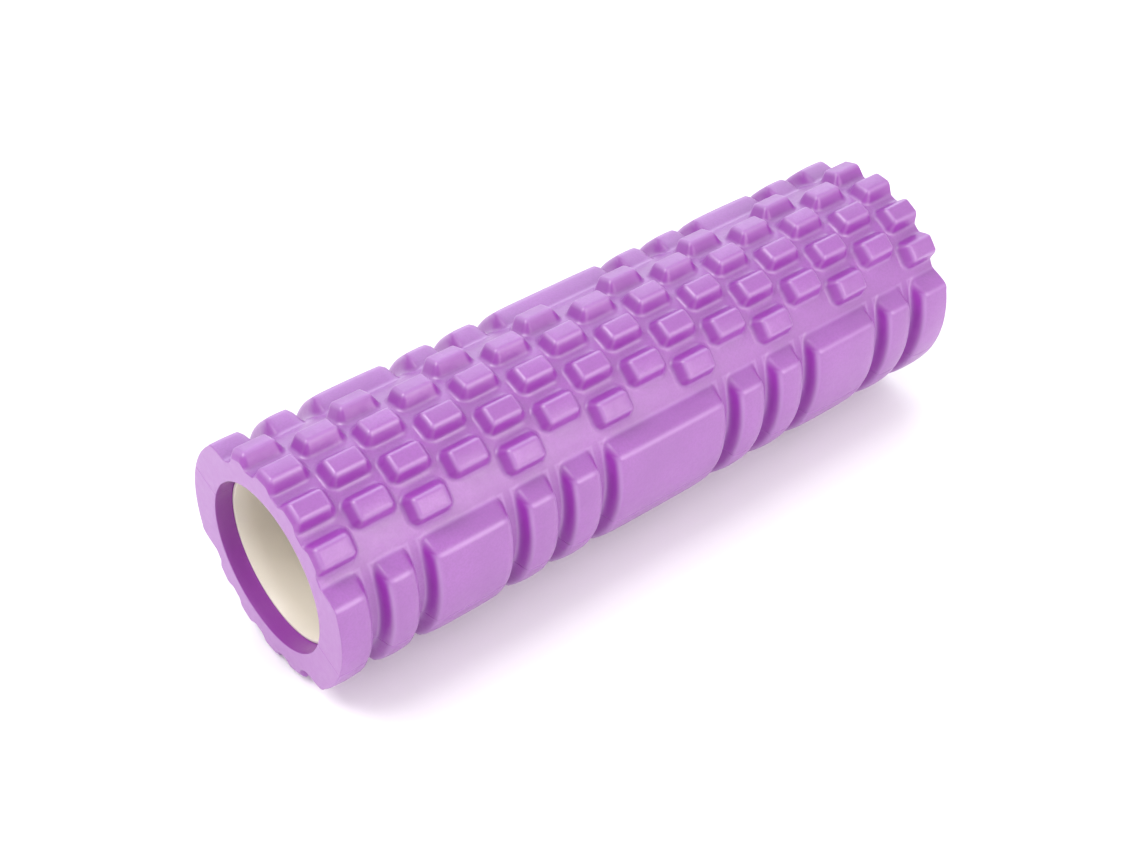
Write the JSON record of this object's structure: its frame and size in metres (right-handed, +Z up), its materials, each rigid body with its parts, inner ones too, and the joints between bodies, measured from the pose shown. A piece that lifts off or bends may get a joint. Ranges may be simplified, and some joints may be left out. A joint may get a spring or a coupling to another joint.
{
  "type": "foam roller",
  "caption": "Hollow foam massage roller: moulded foam half shells with knobs and long lands round a thin plastic core tube.",
  "frame": {"origin": "centre of the bounding box's base: on the floor that the roller lies on, under the middle of its axis", "axes": "+X along the roller's axis, +Z up; the roller lies on two neighbouring knob rows of the lower half shell"},
  "size_m": [0.45, 0.143, 0.14],
  "materials": {
    "eva_foam": "satin moulded closed-cell EVA foam, violet",
    "abs_ivory": "extruded ABS, ivory"
  },
  "bodies": {
    "root": {"core_tube": "abs_ivory", "foam_shell_upper": "eva_foam", "foam_shell_lower": "eva_foam"}
  },
  "joints": []
}
